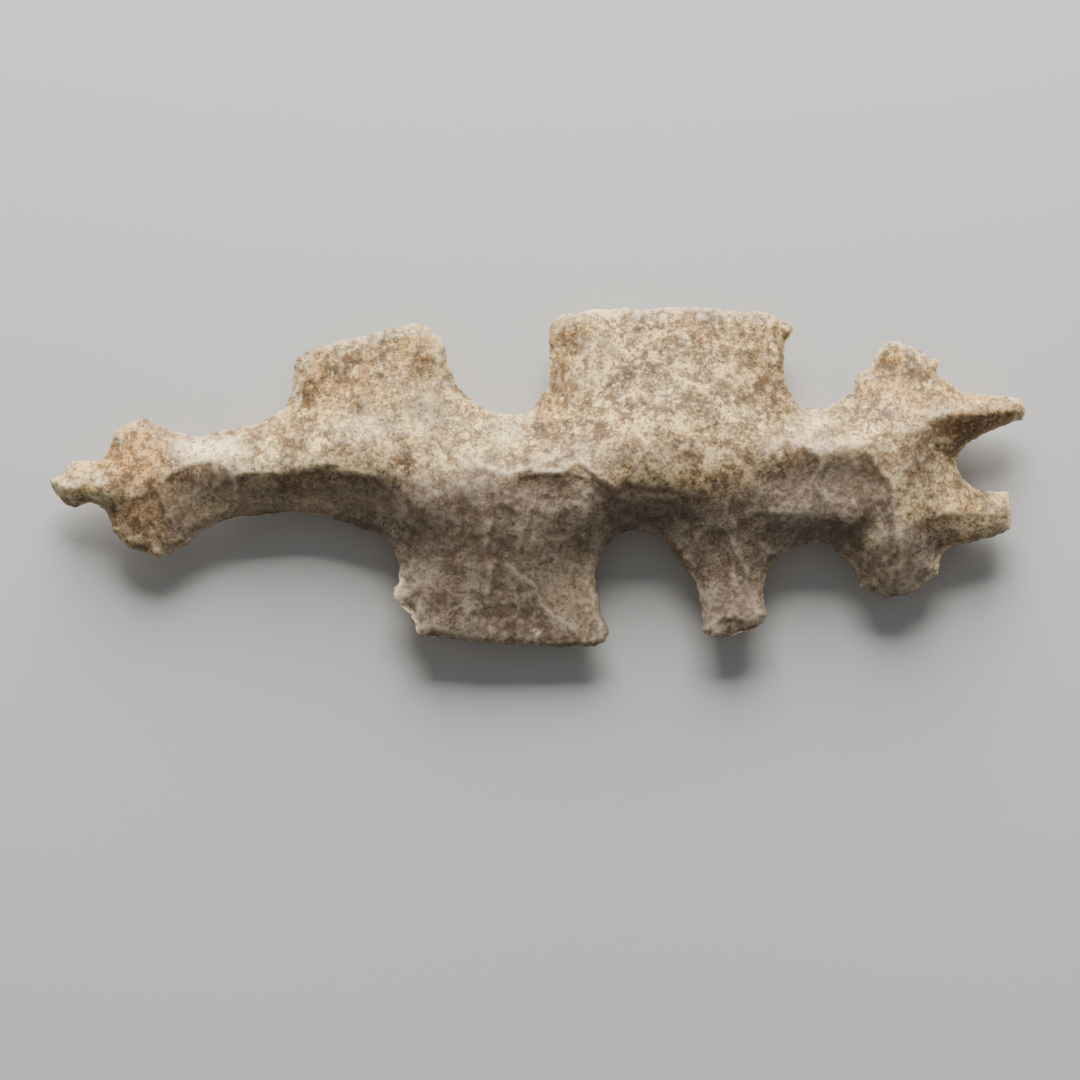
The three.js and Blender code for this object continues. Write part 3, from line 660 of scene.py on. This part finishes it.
def colour_layers(points, faces, front, arris, arris_shadow_line):
    """What the colours go by at each point. The first points belong to the front, as many as front says."""
    xy = points[:, :2]
    x_squares = points[:, 0] / SQUARE
    on_front = np.arange(len(points)) < front
    from_edge = nearest_distance(xy, rim[:, :2])

    # Below the crest: partly cooler, greyer stone and partly painted shade of the flank turned away from the
    # light.
    crest_x, crest_y = np.array([place(x, y) for x, y, _ in FRONT_CRESTS[0][:-2]]).T
    below_crest = np.interp(points[:, 0], crest_x, crest_y) - points[:, 1]
    lower = np.clip(below_crest / COOL_AND_SHADE_BLEND + COOL_AND_SHADE_AT_CREST, 0, 1)
    lower *= np.interp(x_squares, COOL_AND_SHADE_PLACES, COOL_AND_SHADE_SHARES)
    lower = np.maximum(lower, spots(xy, COOL_AREAS, seed=700))

    # A point above its smoothed surroundings is on a crest and gets a painted highlight, and one below them
    # is in a hollow and gets painted shade.
    itself, around = (smoothed(points[:, 2], faces, rounds) for rounds in CREST_ROUNDS)
    sharp = itself - around
    sharp[front:] *= -1
    sharp = np.clip(sharp / CREST_HIGHLIGHT_RISE - CREST_HIGHLIGHT_START, 0, 1)
    sharp[front:] *= BACK_CONTRAST
    sharp[:front] = np.maximum(sharp[:front], arris)
    sharp *= np.interp(x_squares, PRONG_PLACES, PRONG_SHARES) * np.clip(from_edge / CREST_EDGE_FADE, 0, 1)
    edge_highlight = np.exp(-from_edge / EDGE_HIGHLIGHT_WIDTH) * (1 - EDGE_HIGHLIGHT_SHADE_LOSS * lower)
    itself, around = (smoothed(points[:, 2], faces, rounds) for rounds in HOLLOW_ROUNDS)
    hollow = around - itself
    hollow[front:] *= -BACK_CONTRAST
    hollow *= np.clip(from_edge / HOLLOW_EDGE_FADE, 0, 1)

    chips = spots(xy, EDGE_CHIPS, seed=730) * np.clip((CHIP_WIDTH - from_edge) / CHIP_BORDER, 0, 1)
    return {
        # Cooler, greyer stone and painted shade below the crest.
        "lower": lower * on_front,
        # Painted highlights on crests, arrises and the edge.
        "arris": np.maximum(sharp, edge_highlight),
        # Painted shade in hollows.
        "hollow": np.clip(hollow / HOLLOW_SHADE_DEPTH, 0, 1),
        "stain": spots(xy, STAINS, seed=610) * on_front,
        "pale": np.maximum(spots(xy, PALE_PATCHES, seed=640), chips) * on_front,
        "tan": spots(xy, TAN_AREAS, seed=670) * on_front,
        # Painted shadow lines beside the arrises.
        "arris_shadow_line": np.concatenate([arris_shadow_line, np.zeros(len(points) - front)]),
    }


def stone_object(name):
    """The whole stone: the front face over the back face, with the outline's points shared."""
    count = len(rim)
    top, triangles, arris, arris_shadow_line = build_face(
        FRONT_STEP, FRONT_CRESTS, FRONT_HEIGHT, 1, FRONT_SCARS, ARRISES, seed=100
    )
    back, back_triangles, _, _ = build_face(
        BACK_STEP, BACK_CRESTS, BACK_DEPTH, -1, BACK_SCARS, [], seed=500
    )
    # Where the back touches the surface that the stone lies on, it keeps a fine grain.
    grain = RESTING_GRAIN * (1 + layered_noise(back[:, :2], cell=1.5 * MM, seed=530))
    under = np.column_stack([back[:, :2], np.maximum(back[:, 2], grain)])[count:]
    points = np.concatenate([top, under])
    back_triangles = np.where(back_triangles < count, back_triangles, back_triangles - count + len(top))
    faces = np.concatenate([triangles, back_triangles[:, ::-1]])

    mesh = bpy.data.meshes.new(name)
    mesh.from_pydata(points.tolist(), [], faces.tolist())
    mesh.shade_smooth()
    for layer, values in colour_layers(points, faces, len(top), arris, arris_shadow_line).items():
        attribute = mesh.attributes.new(layer, "FLOAT", "POINT")
        attribute.data.foreach_set("value", values.astype(np.float32))
    made = bpy.data.objects.new(name, mesh)
    bpy.context.scene.collection.objects.link(made)
    return made


class Nodes:
    """Short calls for building one material's nodes."""

    # The numbers of the sockets that the Mix node uses for colours.
    FIRST_COLOUR = 6
    SECOND_COLOUR = 7
    MIXED_COLOUR = 2

    def __init__(self, name):
        self.material = bpy.data.materials.new(name)
        self.material.use_nodes = True
        self.tree = self.material.node_tree
        self.shader = self.tree.nodes["Principled BSDF"]
        self.place = self.tree.nodes.new("ShaderNodeTexCoord").outputs["Object"]

    def add(self, kind, **settings):
        """A new shader node of a kind, with its settings."""
        node = self.tree.nodes.new("ShaderNode" + kind)
        for key, value in settings.items():
            setattr(node, key, value)
        return node

    def join(self, source, socket):
        """Links the source to the socket, or sets the socket to it if it is a plain value."""
        if isinstance(source, bpy.types.NodeSocket):
            self.tree.links.new(source, socket)
        else:
            socket.default_value = source

    def noise(self, cell, detail, roughness, seed):
        """Noise from 0 to 1, with features about one cell wide."""
        node = self.add("TexNoise", noise_dimensions="4D")
        self.join(self.place, node.inputs["Vector"])
        inputs = {"W": seed, "Scale": 1 / cell, "Detail": detail, "Roughness": roughness, "Distortion": 0}
        for name, value in inputs.items():
            node.inputs[name].default_value = value
        return node.outputs["Fac"]

    def patches(self, noise, low, high, strength=1.0):
        """0 where the noise is below low, strength where it is above high, and smooth in between."""
        node = self.add("MapRange", interpolation_type="SMOOTHSTEP")
        self.join(noise, node.inputs["Value"])
        for name, value in {"From Min": low, "From Max": high, "To Min": 0, "To Max": strength}.items():
            node.inputs[name].default_value = value
        return node.outputs["Result"]

    def ramp(self, value, low, high):
        """0 at low and 1 at high, in a straight line."""
        node = self.add("MapRange")
        inputs = {"Value": value, "From Min": low, "From Max": high, "To Min": 0, "To Max": 1}
        for name, source in inputs.items():
            self.join(source, node.inputs[name])
        return node.outputs["Result"]

    def mix(self, first, second, share):
        """The first colour with the second laid over it, as strongly as share says."""
        node = self.add("Mix", data_type="RGBA")
        self.join(share, node.inputs["Factor"])
        self.join(first, node.inputs[self.FIRST_COLOUR])
        self.join(second, node.inputs[self.SECOND_COLOUR])
        return node.outputs[self.MIXED_COLOUR]

    def maths(self, operation, first, second):
        """The result of a sum, product or the like of two sockets or plain values."""
        node = self.add("Math", operation=operation)
        self.join(first, node.inputs[0])
        self.join(second, node.inputs[1])
        return node.outputs[0]

    def times(self, first, second):
        """The product of two sockets or plain values."""
        return self.maths("MULTIPLY", first, second)

    def layer(self, name):
        """One of the stone's colour layers."""
        return self.add("Attribute", attribute_name=name).outputs["Fac"]


# Colours above the crest, then those below it: darker, greyer copies, partly the stone's cooler tone and
# partly painted shade of the flank that faces away from the light.
TAN = (0.37, 0.233, 0.105, 1)
GREY = (0.34, 0.236, 0.118, 1)
OCHRE = (0.42, 0.225, 0.08, 1)
CREAM = (0.95, 0.68, 0.29, 1)
SAND = (0.78, 0.44, 0.14, 1)
WHITE = (0.98, 0.80, 0.50, 1)
DEEP = (0.07, 0.048, 0.025, 1)
BROWN = (0.14, 0.077, 0.035, 1)
DARK = (0.058, 0.033, 0.016, 1)
GREY_SHADED_GROUND = (0.235, 0.178, 0.13, 1)
GREY_SHADED_PALE = (0.39, 0.318, 0.247, 1)
SHADED_ARRIS_HIGHLIGHT = (0.62, 0.51, 0.37, 1)
GREY_SHADED_BROWN = (0.13, 0.082, 0.052, 1)
GREY_SHADED_DEEP = (0.115, 0.083, 0.059, 1)


def chert_material():
    """Mottled cream and tan above the crest, cooler grey-brown below it that is partly painted shade, painted
    highlights on edges and arrises.

    Each colour is laid over the ones before. A noise call gives the cell, the detail and the roughness, and a
    patches call gives the noise levels where the patches start and where they are full, then their strength.
    """
    paint = Nodes("chert")
    noise, patches, mix, times = paint.noise, paint.patches, paint.mix, paint.times
    lower = paint.layer("lower")
    tan = paint.layer("tan")
    # Each colour has a darker, greyer copy below the crest: partly cooler stone, partly painted shade.
    deep = mix(DEEP, GREY_SHADED_DEEP, lower)
    brown = mix(BROWN, GREY_SHADED_BROWN, lower)
    cream = mix(mix(CREAM, SAND, tan), GREY_SHADED_PALE, lower)
    white = mix(mix(WHITE, CREAM, paint.maths("MAXIMUM", tan, 0.5)), GREY_SHADED_PALE, lower)

    # Broad ground colours.
    colour = mix(TAN, GREY, patches(noise(14 * MM, 3, 0.6, seed=1), 0.36, 0.6))
    colour = mix(colour, OCHRE, patches(noise(11 * MM, 3, 0.6, seed=3), 0.54, 0.7, 0.6))
    # The greyer, darker ground below the crest, partly painted shade.
    colour = mix(colour, GREY_SHADED_GROUND, times(lower, 0.85))
    colour = mix(colour, OCHRE, times(tan, 0.6))

    # Grains of every size, darker and lighter than the ground.
    grain = noise(9 * MM, 5, 0.95, seed=2)
    colour = mix(colour, deep, paint.ramp(grain, 0.5, 0.41))
    colour = mix(colour, cream, paint.ramp(grain, 0.5, 0.585))

    # Brown blotches and specks, which crowd together in places.
    crowd = patches(noise(9 * MM, 2, 0.5, seed=5), 0.35, 0.65)
    colour = mix(colour, GREY_SHADED_BROWN, times(patches(noise(6 * MM, 3, 0.5, seed=15), 0.5, 0.6, 0.45), lower))
    colour = mix(colour, brown, patches(noise(16 * MM, 4, 0.6, seed=12), 0.5, 0.68, 0.36))
    colour = mix(colour, brown, times(patches(noise(2.2 * MM, 3, 0.65, seed=6), 0.56, 0.64, 0.5), crowd))
    colour = mix(colour, deep, patches(noise(0.8 * MM, 2, 0.6, seed=13), 0.5, 0.66, 0.6))
    colour = mix(colour, DARK, times(patches(noise(1.1 * MM, 2, 0.5, seed=7), 0.57, 0.63, 0.7), crowd))
    colour = mix(colour, white, patches(noise(4 * MM, 4, 0.65, seed=4), 0.56, 0.64, 0.55))

    # Drawn stains, painted shade in hollows, painted shadow lines beside arrises, and painted highlights on
    # arrises.
    stain = times(paint.layer("stain"), patches(noise(1.4 * MM, 3, 0.6, seed=8), 0.3, 0.58))
    colour = mix(colour, brown, stain)
    # Painted shade in the hollows, in brown.
    colour = mix(colour, brown, times(paint.layer("hollow"), 0.3))
    # Painted shadow line on the steep side of each arris.
    colour = mix(colour, DARK, times(paint.layer("arris_shadow_line"), 0.5))
    # Painted highlights on crests, arrises and the edge, dimmer below the crest.
    arris = times(paint.layer("arris"), patches(noise(1.8 * MM, 2, 0.6, seed=11), 0.3, 0.6, 0.6))
    colour = mix(colour, mix(WHITE, SHADED_ARRIS_HIGHLIGHT, lower), arris)

    # Brown flecks lie over the painted arris highlights, above the crest only, and the palest places over
    # them.
    upper = paint.maths("SUBTRACT", 1, lower)
    fleck = times(patches(noise(3 * MM, 5, 0.85, seed=14), 0.52, 0.56, 0.85), upper)
    colour = mix(colour, BROWN, fleck)
    # The pale places include painted light over the shaded flanks below the crests.
    pale = times(paint.layer("pale"), patches(noise(1.3 * MM, 4, 0.7, seed=9), 0.38, 0.56, 0.9))
    colour = mix(colour, WHITE, pale)
    paint.join(colour, paint.shader.inputs["Base Color"])
    paint.shader.inputs["Roughness"].default_value = 0.6
    paint.shader.inputs["Specular IOR Level"].default_value = 0.25

    bump = paint.add("Bump")
    bump.inputs["Strength"].default_value = 0.6
    bump.inputs["Distance"].default_value = 0.16 * MM
    paint.join(noise(0.9 * MM, 3, 0.7, seed=10), bump.inputs["Height"])
    paint.join(bump.outputs["Normal"], paint.shader.inputs["Normal"])
    return paint.material


rim = smooth_loop(rim_loop(), EDGE_STEP)
# Small chips bite into the outline, and between them it stands a little proud.
bites = OUTLINE_BITES * layered_noise(rim[:, :2], cell=3.2 * MM, seed=31)
nicks = OUTLINE_NICKS * lattice_noise(rim[:, :2], cell=1.1 * MM, seed=41)
rim[:, :2] += outwards(rim) * (bites + nicks - OUTLINE_INSET)[:, None]
rim[:, 2] += OUTLINE_SWING * layered_noise(rim[:, :2], cell=6 * MM, seed=51)

middle = float(np.median(rim[:, 2]))
stone = stone_object("flaked_stone")
stone.data.materials.append(chert_material())
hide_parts(NODE)
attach(stone, "root")

# Floor, light and camera.
FLOOR_REACH = 3  # metres to each side
floor_corners = [(x * FLOOR_REACH, y * FLOOR_REACH, 0) for x, y in ((-1, -1), (1, -1), (1, 1), (-1, 1))]
floor_mesh = bpy.data.meshes.new("floor")
floor_mesh.from_pydata(floor_corners, [], [(0, 1, 2, 3)])
floor = bpy.data.objects.new("floor", floor_mesh)
bpy.context.scene.collection.objects.link(floor)
FLOOR_COLOUR = (0.57, 0.563, 0.55, 1)
floor_paint = Nodes("floor_paint")
floor_paint.shader.inputs["Base Color"].default_value = FLOOR_COLOUR
floor_paint.shader.inputs["Roughness"].default_value = 0.9
floor_mesh.materials.append(floor_paint.material)


def area_light(name, at, size, power, colour):
    """A square light that faces the stone."""
    light = bpy.data.lights.new(name, "AREA")
    light.size = size
    light.energy = power
    light.color = colour
    made = bpy.data.objects.new(name, light)
    made.location = at
    made.rotation_euler = (-Vector(at)).to_track_quat("-Z", "Y").to_euler()
    bpy.context.scene.collection.objects.link(made)


KEY_ELEVATION = math.radians(26)
KEY_DISTANCE = 1.2
KEY_SIZE = 0.8
KEY_WATTS = 49
KEY_COLOUR = (1, 0.98, 0.95)
WORLD_STRENGTH = 0.224
key_place = (0, KEY_DISTANCE * math.cos(KEY_ELEVATION), KEY_DISTANCE * math.sin(KEY_ELEVATION))
area_light("key", key_place, KEY_SIZE, KEY_WATTS, KEY_COLOUR)
world = bpy.data.worlds.new("studio")
world.use_nodes = True
world.node_tree.nodes["Background"].inputs["Color"].default_value = (1, 1, 1, 1)
world.node_tree.nodes["Background"].inputs["Strength"].default_value = WORLD_STRENGTH
bpy.context.scene.world = world

# The camera looks straight down, from where the stone fills the picture as it does in the photo.
PHOTO_WIDTH = 1080  # pixels
STONE_IN_PHOTO = 977
VIEW_WIDTH = LENGTH * PHOTO_WIDTH / STONE_IN_PHOTO  # the whole picture, at the level of the stone's edge
VIEW_MIDDLE = (0.76 * MM, -19 * MM)
LENS_MM = 100
camera_data = bpy.data.cameras.new("camera")
camera_data.lens = LENS_MM
camera_height = VIEW_WIDTH * camera_data.lens / camera_data.sensor_width + middle
camera = bpy.data.objects.new("camera", camera_data)
camera.location = (*VIEW_MIDDLE, camera_height)
bpy.context.scene.collection.objects.link(camera)
bpy.context.scene.camera = camera
